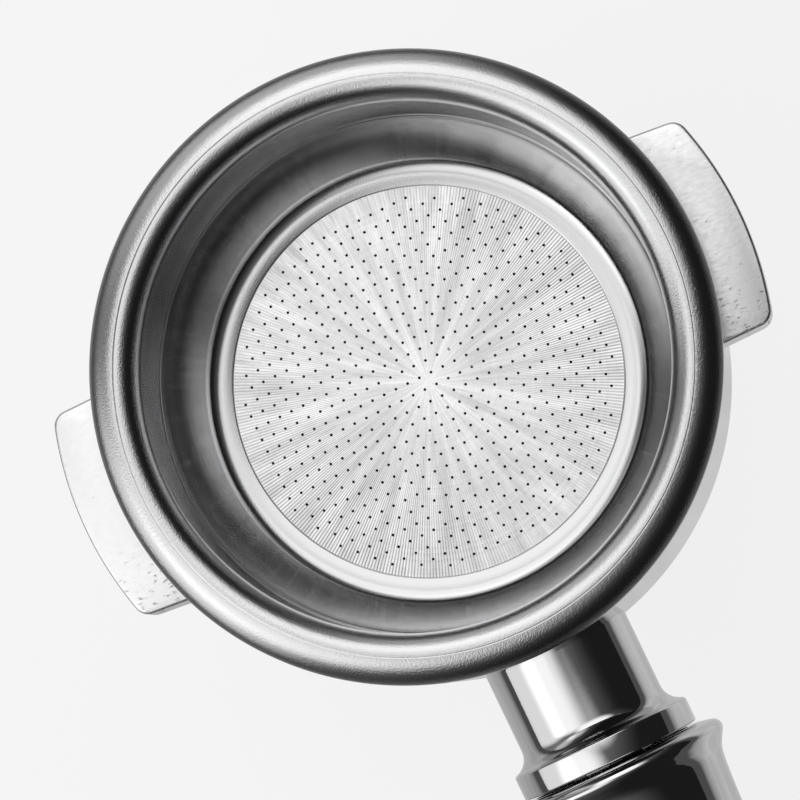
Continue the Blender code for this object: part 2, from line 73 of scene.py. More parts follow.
# Colours
CHROME = (0.62, 0.62, 0.625)
SPUN_STEEL = (0.57, 0.57, 0.575)
FLOOR_STEEL = (0.66, 0.66, 0.66)
GROUND_STEEL = (0.80, 0.80, 0.80)
WORN_STEEL = (0.36, 0.36, 0.36)
SPRING_STEEL = (0.62, 0.62, 0.63)
PLATING = (0.60, 0.60, 0.58)
BRASS = (0.72, 0.53, 0.25)
BLACK_PHENOLIC = (0.012, 0.012, 0.013)
BLACK_RUBBER = (0.018, 0.018, 0.018)
BLACK_NYLON = (0.02, 0.02, 0.021)
WHITE = (1.0, 1.0, 1.0, 1.0)

# Camera and studio
CAMERA_PLACE = Vector((56.10, 34.87, 455.26)) * MM
CAMERA_AIM = Vector((3.47, -1.84, 0.0)) * MM
CAMERA_TOP = math.radians(154.58)       # the way the picture's top points, seen from above
CAMERA_LENS = 189.85                    # millimetres on a 36 mm sensor
CAMERA_RIGHT = CAMERA_TOP - math.pi / 2
FLOOR_SIZE = 12.0
BACKDROP = 0.879                        # what the camera sees of the paper and of the sky
PAPER_SHARE = 0.05                      # of that, what the paper gets from the studio light and doesn't glow
POOL_GLOW = (0.42, 0.62)                # what the metal sees of the lit paper, on the left and on the right
POOL_REACH = (0.10, 0.24)               # where that pool of light starts to fade, and where it is gone
POOL_MIDDLE = 50 * MM                   # the glow goes from left to right within this distance of the middle
FLOOR_ALBEDO = 0.12
FLOOR_GAP = 0.02 * MM                   # between the paper and the lowest point
DARK_SIDE = 0.02
SOFT_BOXES = (                          # azimuth from the picture's right, zenith angle, core, edge, strength
    (107, 28, 15, 33, 1.65),
    (224, 34, 4, 36, 1.60),
    (210, 70, 12, 36, 1.10),
    (172, 57, 40, 105, 0.24),
    (122, 72, 15, 48, 0.55),
)

# Handle axis, from the frame
HANDLE_JOINT = next(joint for joint in frame["joints"] if joint["name"] == "handle_turn")
HANDLE_WAY = Vector(HANDLE_JOINT["axis"]).normalized()
HANDLE_POINT = Vector(HANDLE_JOINT["pos_m"])
HANDLE_ORIGIN = HANDLE_POINT - HANDLE_WAY * (HANDLE_POINT.x / HANDLE_WAY.x)
HANDLE_TILT = math.atan2(-HANDLE_WAY.z, HANDLE_WAY.x)
HANDLE_MATRIX = Matrix.Translation(HANDLE_ORIGIN) @ Matrix.Rotation(math.pi / 2 + HANDLE_TILT, 4, "Y")

# Basket
BASKET_LOW, BASKET_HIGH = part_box("filter_basket")
RIM_RADIUS = BASKET_HIGH.x
SHEET = 0.7 * MM
CUP_DEPTH = -BASKET_LOW.z - SHEET
CREST_RADIUS = 31.76 * MM
LAND_WIDTH = 0.10 * MM                  # level strip inside the crest
LIP_DEPTH = 3.2 * MM
LIP_LEAN = math.radians(56)             # slope that the outer roll reaches at its edge
LIP_EDGE = 0.3 * MM                     # small radius that turns the roll down there
INNER_ROLL = (2.38 * MM, 2.62 * MM)     # width and depth of the roll into the cup
CUP_RADIUS = CREST_RADIUS - LAND_WIDTH - INNER_ROLL[0]
WALL_SPREAD = 0.0059                    # how much the upper wall widens with depth
RIDGE_DEPTH = 14.57 * MM
RIDGE_RISE = 0.22 * MM
RIDGE_HALF = 0.66 * MM
WALL_LEANS = (6.5, 18, 30)              # the curved wall's slope at its top, middle and foot, in degrees
FOOT_CURVE = 2.2 * MM                   # fillet between that wall and the floor
BAND_RADIUS = 24.0 * MM                 # plain level band round the perforated floor
FLOOR_RADIUS = 22.57 * MM
FLOOR_GROOVE = 0.05 * MM                # depth of the fine line that parts the band from the floor
CREST_LINE = 32.0 * MM                  # fine tool mark round the lip
CREST_LINE_HALF = 0.09 * MM
HOLE_PITCH = 1.5 * MM
HOLE_RADIUS = 0.17 * MM
HOLE_FIELD = 14.4                       # radius of the perforated field, in pitches
HOLE_SIDES = 10
BASKET_SEGMENTS = 320
BASKET_WELD = 0.004 * MM                # joins the floor to the wall
COMB_LINES = 385                        # radial tool marks round the floor's edge

# Holder casting
HOLDER_LOW, HOLDER_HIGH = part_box("body_casting")
RING_TOP = HOLDER_HIGH.z
RING_RADIUS = -HOLDER_LOW.x
RING_EDGE = 0.6 * MM
BORE_RADIUS = 30.9 * MM
HOLDER_CURVE = 8.0 * MM
BOWL_FLOOR = -35.0 * MM
UNDERSIDE = -38.5 * MM
BOSS_RADIUS = 12.0 * MM
BOSS_FILLET = 1.6 * MM
BOSS_FACE = HOLDER_LOW.z
BOSS_CHAMFER = 0.4 * MM
THREAD_RADIUS = 8.4 * MM
THREAD_TOP = -37.1 * MM
OUTLET_RADIUS = 5.0 * MM
OUTLET_RIM = 0.4 * MM
SPRING_HEIGHT = sum(corner.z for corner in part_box("retaining_spring")) / 2
GROOVE_SIZE = 1.2 * MM
WALL_RING = 0.3 * MM                    # extra ring beside each rounding, so the wall between shades straight
HOLDER_SEGMENTS = 192
NECK_SEGMENTS = 96
STUD_HOLE_SEGMENTS = 48

# Bayonet lugs
LUG_REACH = HOLDER_HIGH.y
LUG_HALF_WIDTH = 12.75 * MM
LUG_TOP = -7.0 * MM
LUG_THICKNESS = 5.0 * MM
LUG_ROOT = 33.3 * MM
LUG_SIDE_START = math.sqrt(LUG_ROOT ** 2 - LUG_HALF_WIDTH ** 2)
LUG_TAPER = math.radians(6)
LUG_CORNER = 1.8 * MM
LUG_EDGE = 0.35 * MM
LUG_MARGIN = 0.1 * MM                   # how far past its sides the ground finish may reach

# Stations along the handle axis, counted from the holder's axis
NECK_START = 31.2 * MM
NECK_RADIUS = 8.8 * MM
NECK_FLARE = 2.4 * MM
COLLAR_RADIUS = 10.8 * MM
COLLAR_START = 45.25 * MM
COLLAR_END = 48.2 * MM
COLLAR_EDGE = 0.25 * MM
STUD_HOLE = 5.3 * MM
STUD_FLOOR = 37.0 * MM
RECESS_RADIUS = 9.6 * MM
RECESS_FLOOR = 49.8 * MM
FERRULE_START = 48.5 * MM
FERRULE_END = 70.0 * MM
FERRULE_CURVE = (                       # station and radius, in millimetres: the bead, then the waist
    (48.5, 11.0), (48.62, 11.5), (48.86, 12.55), (49.2, 13.05), (49.8, 13.3), (50.4, 13.1), (51.1, 12.7),
    (51.9, 12.27), (52.8, 12.02), (54.8, 11.8), (58.6, 11.55), (63.5, 11.3), (67.0, 11.35), (69.7, 11.48),
    (70.0, 11.3),
)
SOCKET_RADIUS = 9.3 * MM
SOCKET_FLOOR = 64.0 * MM
TENON_RADIUS = 9.0 * MM
TENON_START = 64.3 * MM
GRIP_START = 72.0 * MM
GRIP_END = 200.0 * MM
GRIP_CURVE = (                          # station and radius, in millimetres
    (72.0, 11.2), (72.3, 11.5), (76.0, 11.97), (92.0, 12.6), (112.0, 13.5), (136.0, 14.55), (160.0, 15.33),
    (172.0, 15.5), (182.0, 15.35), (190.0, 14.8), (195.5, 13.85), (198.6, 12.75), (199.7, 12.0),
    (200.0, 11.4),
)
BUSH_HOLE = 7.7 * MM
BUSH_FLOOR = 84.3 * MM
NUT_POCKET = 9.8 * MM
NUT_POCKET_START = 178.0 * MM
CAP_FACE = 200.3 * MM
CAP_RADIUS = 11.2 * MM
CAP_HEIGHT = 3.2 * MM
CAP_EDGE = 0.8 * MM                     # straight edge below the dome
CAP_ROUND = 0.35 * MM
CAP_SPIGOT_START = 192.5 * MM
CAP_SPIGOT_RADIUS = 9.5 * MM
CAP_SPIGOT_BORE = 6.4 * MM
CAP_BORE_FLOOR = 194.5 * MM
CAP_GROOVE = (8.2 * MM, 195.7 * MM, 197.3 * MM)     # radius of its bottom, then where it starts and ends

# Double spout
LOCK_NUT_LOW, LOCK_NUT_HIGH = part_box("spout_lock_nut")
LOCK_NUT_ACROSS_FLATS = 22.0 * MM
LOCK_NUT_CHAMFER = math.radians(30)
LOCK_NUT_BORE = 8.4 * MM
LOCK_NUT_SEGMENTS = 144
LOCK_NUT_SHARP = math.radians(20)
LOCK_NUT_OVERSIZE = 1 * MM              # how far the prism and the cone that it is cut from reach past it
HUB_LOW, HUB_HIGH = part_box("spout_hub")
HUB_RADIUS = 10.0 * MM
HUB_SHOULDER = 6.0 * MM                 # from the hub's top face down to its ports' axis
HUB_TURN = 2.0 * MM                     # below that axis, where the hub turns under
NIPPLE_RADIUS = 8.1 * MM
NIPPLE_CHAMFER = 0.4 * MM
CHANNEL_RADIUS = 4.5 * MM
CHANNEL_OVERRUN = 1 * MM                # how far the hub's bores are cut past what they open
PORT_HEIGHT = HUB_LOW.z + 6.2 * MM
HUB_TOP = PORT_HEIGHT + HUB_SHOULDER
PORT_REACH = 12.0 * MM
STUB_RADIUS = 5.6 * MM
STUB_ROUND = 0.3 * MM
TUBE_START = 12.3 * MM
TUBE_RADIUS = 5.3 * MM
TUBE_BORE = 4.0 * MM
TUBE_BEND = 6.5 * MM
TUBE_TIP = 3.6 * MM
TUBE_ROUND = 0.3 * MM                   # rounding of the tube's outer edges
SPOUT_SEGMENTS = 72


# ---------------------------------------------------------------- mesh helpers

def smooth(item, angle=SHARP_ANGLE):
    """Shades smooth, except over edges that turn by more than the angle."""
    item.data.shade_smooth()
    item.data.set_sharp_from_angle(angle=angle)


def coat(item, *materials):
    """Gives the object these materials and no others."""
    item.data.materials.clear()
    for material in materials:
        item.data.materials.append(material)


def make_object(name, mesh, matrix=None, sharp=SHARP_ANGLE):
    bmesh.ops.recalc_face_normals(mesh, faces=mesh.faces)
    data = bpy.data.meshes.new(name)
    mesh.to_mesh(data)
    mesh.free()
    if matrix:
        data.transform(matrix)
    item = bpy.data.objects.new(name, data)
    bpy.context.scene.collection.objects.link(item)
    smooth(item, sharp)
    return item


def arc(centre, radii, start, end, steps):
    """Points on an elliptic arc in the (radius, height) plane, angles in degrees."""
    points = []
    for step in range(steps + 1):
        angle = math.radians(start + (end - start) * step / steps)
        points.append((centre[0] + radii[0] * math.cos(angle), centre[1] + radii[1] * math.sin(angle)))
    return points


def turned(outline, segments, closed=True):
    """Outline of (radius, height) points turned about Z, made ring by ring so that each run is the same."""
    steps = zip(outline[-1:] + outline, outline)
    points = [point for before, point in steps if math.dist(before, point) > WELD]
    turns = [2 * math.pi * step / segments for step in range(segments)]
    mesh = bmesh.new()
    rings = []
    for radius, height in points:
        if radius > WELD:
            spots = [(radius * math.cos(turn), radius * math.sin(turn), height) for turn in turns]
            rings.append([mesh.verts.new(spot) for spot in spots])
        else:
            rings.append([mesh.verts.new((0, 0, height))] * segments)
    pairs = list(zip(rings, rings[1:]))
    if closed and outline[0][0] > 0:
        pairs.append((rings[-1], rings[0]))
    for near, far in pairs:
        for step in range(segments):
            corners = dict.fromkeys((near[step - 1], near[step], far[step], far[step - 1]))
            mesh.faces.new(list(corners))
    return mesh


def plug(radius, start, end):
    """Outline of a solid round bar."""
    return [(0, start), (radius, start), (radius, end), (0, end)]


def offset_path(face, thickness):
    """The back of a bent sheet, offset to the right of travel along its face."""
    back = []
    for index, (radius, height) in enumerate(face):
        before = Vector(face[max(index - 1, 0)])
        after = Vector(face[min(index + 1, len(face) - 1)])
        travel = (after - before).normalized()
        back.append((radius + travel.y * thickness, height - travel.x * thickness))
    return back


def smooth_curve(points, steps):
    """Catmull-Rom curve through the points."""
    guides = [Vector(point) for point in (points[0], *points, points[-1])]
    path = [guides[1]]
    for before, near, far, after in zip(guides, guides[1:], guides[2:], guides[3:]):
        for step in range(1, steps + 1):
            part = step / steps
            bend = 2 * before - 5 * near + 4 * far - after
            twist = 3 * near - before - 3 * far + after
            path.append((2 * near + part * (far - before) + part ** 2 * bend + part ** 3 * twist) / 2)
    return path


def combine(target, tool, operation):
    """Applies a boolean to the target, and removes the tool."""
    cut = target.modifiers.new("cut", "BOOLEAN")
    cut.operation = operation
    cut.object = tool
    graph = bpy.context.evaluated_depsgraph_get()
    data = bpy.data.meshes.new_from_object(target.evaluated_get(graph))
    target.modifiers.clear()
    target.data = data
    bpy.data.objects.remove(tool, do_unlink=True)
    return target


# ---------------------------------------------------------------- material helpers

class Nodes:
    """Short calls that build a node tree."""

    def __init__(self, tree):
        self.tree = tree

    def node(self, kind, **settings):
        made = self.tree.nodes.new("ShaderNode" + kind)
        for key, value in settings.items():
            setattr(made, key, value)
        return made

    def link(self, source, target):
        self.tree.links.new(source, target)

    def wire(self, value, socket):
        """Links a node output, or sets a plain number."""
        if isinstance(value, (int, float)):
            socket.default_value = value
        else:
            self.link(value, socket)

    def math(self, operation, first, second=0.0, third=0.0):
        made = self.node("Math", operation=operation)
        for value, socket in zip((first, second, third), made.inputs):
            self.wire(value, socket)
        return made.outputs[0]

    def camera_sees(self, plain, others):
        """One value for what the camera sees directly, another for every other ray."""
        rays = self.node("LightPath")
        made = self.node("Mix", data_type="FLOAT")
        self.wire(rays.outputs["Is Camera Ray"], made.inputs[0])
        self.wire(others, made.inputs[2])
        self.wire(plain, made.inputs[3])
        return made.outputs[0]


class Shader(Nodes):
    """A Principled material with short calls for the nodes that feed it."""

    def __init__(self, name, colour, roughness, metallic=0.0):
        self.material = bpy.data.materials.new(name)
        self.material.use_nodes = True
        super().__init__(self.material.node_tree)
        self.main = self.tree.nodes["Principled BSDF"]
        self.set("Base Color", (*colour, 1.0))
        self.set("Roughness", roughness)
        self.set("Metallic", metallic)

    def set(self, socket, value):
        self.main.inputs[socket].default_value = value

    def place(self):
        return self.node("TexCoord").outputs["Object"]

    def polar(self):
        """Radius from Z, angle round Z in radians, and height of the shaded point."""
        split = self.node("SeparateXYZ")
        self.link(self.place(), split.inputs[0])
        radius = self.math("SQRT", self.math(
            "ADD", self.math("MULTIPLY", split.outputs[0], split.outputs[0]),
            self.math("MULTIPLY", split.outputs[1], split.outputs[1])))
        angle = self.math("ARCTAN2", split.outputs[1], split.outputs[0])
        return radius, angle, split.outputs[2]

    def point(self, x, y, z):
        made = self.node("CombineXYZ")
        for value, socket in zip((x, y, z), made.inputs):
            self.wire(value, socket)
        return made.outputs[0]

    def noise(self, where, scale, detail=2.0, roughness=0.5):
        """Noise from 0 to 1, with scale in cells for each unit of the place it is read at."""
        made = self.node("TexNoise")
        made.inputs["Scale"].default_value = scale
        made.inputs["Detail"].default_value = detail
        made.inputs["Roughness"].default_value = roughness
        self.link(where, made.inputs["Vector"])
        return made.outputs["Fac"]

    def span(self, value, low, high, to_low, to_high):
        """Maps low..high to to_low..to_high, clamped."""
        made = self.node("MapRange")
        for number, socket in zip((value, low, high, to_low, to_high), made.inputs):
            self.wire(number, socket)
        return made.outputs[0]

    def blend(self, factor, first, second):
        made = self.node("Mix", data_type="RGBA")
        self.wire(factor, made.inputs["Factor"])
        for value, socket in ((first, made.inputs["A"]), (second, made.inputs["B"])):
            if isinstance(value, tuple):
                socket.default_value = (*value, 1.0)
            else:
                self.link(value, socket)
        return made.outputs["Result"]

    def bump(self, *layers):
        """Stacks (height, distance in metres) layers of bump."""
        normal = None
        for height, distance in layers:
            made = self.node("Bump")
            made.inputs["Distance"].default_value = distance
            made.inputs["Strength"].default_value = 1.0
            self.link(height, made.inputs["Height"])
            if normal:
                self.link(normal, made.inputs["Normal"])
            normal = made.outputs[0]
        self.link(normal, self.main.inputs["Normal"])

    def feed(self, socket, output):
        self.link(output, self.main.inputs[socket])


def chrome(name, seed=0.0, roughness=0.045):
    """Polished chrome over a cast and buffed surface: faint ripple, smudges and hairline scratches."""
    look = Shader(name, CHROME, roughness, 1.0)
    where = look.node("Mapping")
    look.link(look.place(), where.inputs["Vector"])
    where.inputs["Location"].default_value = (seed, 2 * seed, 3 * seed)
    where = where.outputs[0]
    smudge = look.noise(where, 90, 4, 0.6)
    hairline = look.noise(where, 2600, 1, 0.4)
    rough = look.span(smudge, 0.35, 0.7, roughness * 0.7, roughness * 1.9)
    look.feed("Roughness", rough)
    ripple = look.noise(where, 110, 0, 0.5)
    look.bump((ripple, 40 * MICRON), (hairline, 1.2 * MICRON))
    return look.material


def lip_and_wall_steel(name):
    """Spun and polished sheet: fine marks that run round the basket."""
    look = Shader(name, SPUN_STEEL, 0.1, 1.0)
    radius, angle, height = look.polar()
    run = look.math("MULTIPLY", look.math("ADD", radius, look.math("MULTIPLY", height, 0.8)), 1000)
    around = look.math("MULTIPLY", angle, 0.35)
    rings = look.noise(look.point(run, around, 0.0), 9, 3, 0.7)
    broad = look.noise(look.point(run, around, 5.0), 1.2, 2, 0.5)
    grain = look.noise(look.place(), 5200, 2, 0.7)
    rough = look.span(look.math("ADD", look.math("MULTIPLY", rings, 0.5), look.math("MULTIPLY", grain, 0.5)),
                      0.35, 0.65, 0.05, 0.13)
    look.feed("Roughness", rough)
    off_line = look.math("ABSOLUTE", look.math("SUBTRACT", radius, CREST_LINE))
    line = look.span(off_line, 0.0, CREST_LINE_HALF, 0.0, 1.0)
    coarse = look.math("MULTIPLY", grain, look.span(height, -4 * MM, -1 * MM, 0.3, 1.0))
    look.bump((broad, 12 * MICRON), (rings, 6 * MICRON), (line, 30 * MICRON), (coarse, 30 * MICRON))
    return look.material


def floor_steel_painted_reflection(name):
    """Perforated floor: hundreds of fine radial lines, and broader radial streaks painted into its colour as
    reflection, with a painted highlight in its middle.
    """
    look = Shader(name, FLOOR_STEEL, 0.2, 1.0)
    radius, angle, _ = look.polar()
    along = look.math("MULTIPLY", radius, 1000)
    outward = look.math("DIVIDE", radius, FLOOR_RADIUS)
    circle_x = look.math("COSINE", angle)
    circle_y = look.math("SINE", angle)
    # painted reflection: broad radial streaks of lighter and darker colour where an anisotropic highlight
    # would fall
    painted_streak_fan = look.noise(look.point(circle_x, circle_y, look.math("MULTIPLY", along, 0.01)), 9, 4, 0.65)
    comb = look.math("SINE", look.math("MULTIPLY", angle, COMB_LINES))
    lines = look.math("MULTIPLY", comb, look.math("POWER", outward, 1.5))
    fine = look.noise(look.point(circle_x, circle_y, look.math("MULTIPLY", along, 0.004)), 70, 2, 0.6)
    scratches = look.math("MULTIPLY", fine, outward)
    rings = look.noise(look.point(along, 0.0, 0.0), 1.4, 3, 0.6)
    # painted highlight: the colour gets lighter towards the middle of the floor
    middle = look.span(radius, 0.0, 6 * MM, 0.12, 0.0)
    # base colour made from the painted reflection streaks and the painted highlight
    painted_reflection_tone = look.math("ADD", look.span(painted_streak_fan, 0.3, 0.7, 0.49, 0.76), middle)
    painted_reflection_colour = look.node("CombineColor")
    for socket in painted_reflection_colour.inputs:
        look.link(painted_reflection_tone, socket)
    look.feed("Base Color", painted_reflection_colour.outputs[0])
    look.feed("Roughness", look.span(fine, 0.3, 0.7, 0.16, 0.28))
    look.bump((lines, 6 * MICRON), (scratches, 13 * MICRON), (rings, 12 * MICRON))
    return look.material


def ground_steel(name):
    """Bright ground top of a lug, with coarse marks along its length."""
    look = Shader(name, GROUND_STEEL, 0.3, 1.0)
    split = look.node("SeparateXYZ")
    look.link(look.place(), split.inputs[0])
    across = look.math("MULTIPLY", split.outputs[0], 1000)
    along = look.math("MULTIPLY", split.outputs[1], 330)
    marks = look.noise(look.point(across, along, 0.0), 2.6, 3, 0.6)
    grain = look.noise(look.place(), 2500, 2, 0.6)
    worn = look.span(split.outputs[0], 2 * MM, 12 * MM, 0.0, 0.13)
    dents = look.span(look.math("ADD", marks, worn), 0.70, 0.80, 0.0, 1.0)
    look.feed("Base Color", look.blend(dents, GROUND_STEEL, WORN_STEEL))
    look.feed("Roughness", look.span(marks, 0.3, 0.7, 0.3, 0.42))
    look.bump((marks, 6 * MICRON), (dents, -30 * MICRON), (grain, 6 * MICRON))
    return look.material


def phenolic(name):
    look = Shader(name, BLACK_PHENOLIC, 0.22)
    smudge = look.noise(look.place(), 60, 4, 0.6)
    grain = look.noise(look.place(), 1800, 2, 0.5)
    look.feed("Roughness", look.span(smudge, 0.3, 0.7, 0.16, 0.34))
    look.set("Coat Weight", 0.25)
    look.set("Coat Roughness", 0.08)
    look.bump((smudge, 40 * MICRON), (grain, 3 * MICRON))
    return look.material


def rubber(name):
    look = Shader(name, BLACK_RUBBER, 0.7)
    grain = look.noise(look.place(), 1500, 3, 0.6)
    look.feed("Roughness", look.span(grain, 0.3, 0.7, 0.55, 0.8))
    look.bump((grain, 20 * MICRON))
    return look.material


def nylon(name):
    look = Shader(name, BLACK_NYLON, 0.45)
    grain = look.noise(look.place(), 1200, 2, 0.5)
    look.feed("Roughness", look.span(grain, 0.3, 0.7, 0.38, 0.55))
    look.bump((grain, 10 * MICRON))
    return look.material


def machined(name, colour, roughness):
    """Turned metal for the hidden fasteners."""
    look = Shader(name, colour, roughness, 1.0)
    blot = look.noise(look.place(), 300, 3, 0.6)
    grain = look.noise(look.place(), 2200, 2, 0.5)
    look.feed("Roughness", look.span(blot, 0.3, 0.7, roughness * 0.8, roughness * 1.4))
    look.bump((blot, 10 * MICRON), (grain, 4 * MICRON))
    return look.material


def floor_paper(name):
    """Pale seamless paper that glows by itself, so that shadows stay faint; metal sees a lit pool on it."""
    look = Shader(name, (FLOOR_ALBEDO, FLOOR_ALBEDO, FLOOR_ALBEDO), 0.9)
    look.set("Specular IOR Level", 0.0)
    look.set("Emission Color", WHITE)
    radius, _, _ = look.polar()
    split = look.node("SeparateXYZ")
    look.link(look.place(), split.inputs[0])
    rightward = look.math("ADD", look.math("MULTIPLY", split.outputs[0], math.cos(CAMERA_RIGHT)),
                          look.math("MULTIPLY", split.outputs[1], math.sin(CAMERA_RIGHT)))
    side = look.span(rightward, -POOL_MIDDLE, POOL_MIDDLE, *POOL_GLOW)
    uneven = look.span(look.noise(look.place(), 45, 3, 0.6), 0.3, 0.7, 0.85, 1.12)
    pool = look.span(radius, *POOL_REACH, 1.0, 0.04)
    glow = look.math("MULTIPLY", look.math("MULTIPLY", side, uneven), pool)
    look.feed("Emission Strength", look.camera_sees(BACKDROP - PAPER_SHARE, glow))
    look.bump((look.noise(look.place(), 900, 3, 0.6), 10 * MICRON))
    return look.material


# ---------------------------------------------------------------- basket

def rolled_lip():
    """From under the lip's outer edge, over its crest, to the top of the cup's wall."""
    turn_radius = RIM_RADIUS - LIP_EDGE
    roll = (turn_radius + LIP_EDGE * math.sin(LIP_LEAN) - CREST_RADIUS) / math.sin(LIP_LEAN)
    turn_height = -roll * (1 - math.cos(LIP_LEAN)) - LIP_EDGE * math.cos(LIP_LEAN)
    shoulder = 90 - math.degrees(LIP_LEAN)
    path = [(RIM_RADIUS, -LIP_DEPTH)]
    path += arc((turn_radius, turn_height), (LIP_EDGE, LIP_EDGE), 0, shoulder, 5)
    path += arc((CREST_RADIUS, -roll), (roll, roll), shoulder, 90, 22)[1:]
    path += arc((CREST_RADIUS - LAND_WIDTH, -INNER_ROLL[1]), INNER_ROLL, 90, 180, 20)
    return path


def wall_radius(height):
    return CUP_RADIUS - (height + INNER_ROLL[1]) * WALL_SPREAD


def ridge():
    """Low round ridge pressed into the wall, which the retaining spring grips from outside."""
    path = []
    steps = 14
    for step in range(steps + 1):
        slide = 2 * step / steps - 1
        height = -RIDGE_DEPTH - slide * RIDGE_HALF
        swell = RIDGE_RISE * (1 + math.cos(math.pi * slide)) / 2
        path.append((wall_radius(height) - swell, height))
    return path


def curved_wall(start, end):
    """Wall below the ridge: its lean runs smoothly through WALL_LEANS from start to end."""
    steps = 30
    top, middle, foot = (math.radians(lean) for lean in WALL_LEANS)
    moves = []
    for step in range(steps):
        part = (step + 0.5) / steps
        rest = 1 - part
        lean = top * rest * (1 - 2 * part) + 4 * middle * part * rest + foot * part * (2 * part - 1)
        moves.append((math.sin(lean), math.cos(lean)))
    inward = (start[0] - end[0]) / sum(move[0] for move in moves)
    down = (start[1] - end[1]) / sum(move[1] for move in moves)
    path = []
    radius, height = start
    for move in moves:
        radius -= move[0] * inward
        height -= move[1] * down
        path.append((radius, height))
    return path


def basket_path():
    """Visible face of the sheet, from under the lip's outer edge to the rim of the flat floor."""
    foot = arc((BAND_RADIUS, -CUP_DEPTH + FOOT_CURVE), (FOOT_CURVE, FOOT_CURVE), -WALL_LEANS[2], -90, 12)
    path = rolled_lip() + ridge()
    path += curved_wall(path[-1], foot[0]) + foot[1:]
    steps = 6
    for step in range(steps + 1):
        slide = 1 - step / steps
        dip = FLOOR_GROOVE * math.sin(math.pi * slide) ** 2
        path.append((FLOOR_RADIUS + slide * 4 * FLOOR_GROOVE, -CUP_DEPTH - dip))
    return path


def hole_centres():
    """Square grid with its middle between four holes, cut off by a circle."""
    reach = int(HOLE_FIELD) + 1
    spots = [(row + 0.5, column + 0.5) for row in range(-reach, reach) for column in range(-reach, reach)]
    return [(x * HOLE_PITCH, y * HOLE_PITCH) for x, y in spots if math.hypot(x, y) <= HOLE_FIELD]


def floor_points(radius):
    """Flat points and edges, in millimetres: the floor's edge first, then one small ring for each hole."""
    rings = [((0, 0), radius, BASKET_SEGMENTS)]
    rings += [(centre, HOLE_RADIUS, HOLE_SIDES) for centre in hole_centres()]
    points = []
    edges = []
    for (x, y), size, sides in rings:
        first = len(points)
        for side in range(sides):
            angle = 2 * math.pi * side / sides
            points.append(Vector((x + size * math.cos(angle), y + size * math.sin(angle))) / MM)
            edges.append((first + side, first + (side + 1) % sides))
    return points, edges


def add_perforated_floor(mesh, radius, top, bottom):
    """Both faces of the floor, with the wall of every hole between them."""
    points, edges = floor_points(radius)
    spots, _, faces, *_ = geometry.delaunay_2d_cdt(points, edges, [], 1, 1e-6)
    upper = [mesh.verts.new((spot.x * MM, spot.y * MM, top)) for spot in spots]
    lower = [mesh.verts.new((spot.x * MM, spot.y * MM, bottom)) for spot in spots]
    for face in faces:
        owners = {(index - BASKET_SEGMENTS) // HOLE_SIDES for index in face}
        if len(owners) == 1 and min(face) >= BASKET_SEGMENTS:
            continue
        mesh.faces.new([upper[index] for index in face])
        mesh.faces.new([lower[index] for index in reversed(face)])
    for near, far in edges[BASKET_SEGMENTS:]:
        mesh.faces.new((upper[near], lower[near], lower[far], upper[far]))


def build_basket():
    path = basket_path()[::-1]
    back = offset_path(path, SHEET)
    mesh = turned(path + back[::-1], BASKET_SEGMENTS, closed=False)
    add_perforated_floor(mesh, FLOOR_RADIUS, -CUP_DEPTH, -CUP_DEPTH - SHEET)
    bmesh.ops.remove_doubles(mesh, verts=mesh.verts, dist=BASKET_WELD)
    basket = make_object("basket", mesh)
    coat(basket, lip_and_wall_steel("spun_steel"), floor_steel_painted_reflection("floor_steel_painted_reflection"))
    for face in basket.data.polygons:
        level = face.center.z < -CUP_DEPTH + FLOOR_GROOVE
        if level and math.hypot(*face.center.xy) < FLOOR_RADIUS:
            face.material_index = 1
    for edge in basket.data.edges:
        ends = [basket.data.vertices[index].co for index in edge.vertices]
        if all(abs(math.hypot(*end.xy) - FLOOR_RADIUS) < TOUCH for end in ends):
            edge.use_edge_sharp = True
    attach(basket, "basket")
    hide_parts("filter_basket")


# ---------------------------------------------------------------- holder casting

def holder_outline():
    """Section through the holder's wall: out along the top, down the outside, back up the bore."""
    curve = (HOLDER_CURVE, HOLDER_CURVE)
    chamfer = BOSS_CHAMFER
    groove_bottom = SPRING_HEIGHT - GROOVE_SIZE
    groove_top = SPRING_HEIGHT + GROOVE_SIZE
    outline = [(BORE_RADIUS + RING_EDGE, RING_TOP)]
    outline += arc((RING_RADIUS - RING_EDGE, RING_TOP - RING_EDGE), (RING_EDGE, RING_EDGE), 90, 0, 6)
    outline.append((RING_RADIUS, RING_TOP - RING_EDGE - WALL_RING))
    outline.append((RING_RADIUS, UNDERSIDE + HOLDER_CURVE + WALL_RING))
    outline += arc((RING_RADIUS - HOLDER_CURVE, UNDERSIDE + HOLDER_CURVE), curve, 0, -90, 24)
    fillet_centre = (BOSS_RADIUS + BOSS_FILLET, UNDERSIDE - BOSS_FILLET)
    outline += arc(fillet_centre, (BOSS_FILLET, BOSS_FILLET), 90, 180, 8)
    outline += [(BOSS_RADIUS, BOSS_FACE + chamfer), (BOSS_RADIUS - chamfer, BOSS_FACE)]
    outline += [(THREAD_RADIUS + chamfer, BOSS_FACE), (THREAD_RADIUS, BOSS_FACE + chamfer)]
    outline += [(THREAD_RADIUS, THREAD_TOP), (OUTLET_RADIUS, THREAD_TOP)]
    outline.append((OUTLET_RADIUS, BOWL_FLOOR - OUTLET_RIM))
    outline += arc((BORE_RADIUS - HOLDER_CURVE, BOWL_FLOOR + HOLDER_CURVE), curve, -90, 0, 24)
    outline += [(BORE_RADIUS, groove_bottom), (BORE_RADIUS + GROOVE_SIZE, groove_bottom)]
    outline += [(BORE_RADIUS + GROOVE_SIZE, groove_top), (BORE_RADIUS, groove_top)]
    outline.append((BORE_RADIUS, RING_TOP - RING_EDGE))
    return outline


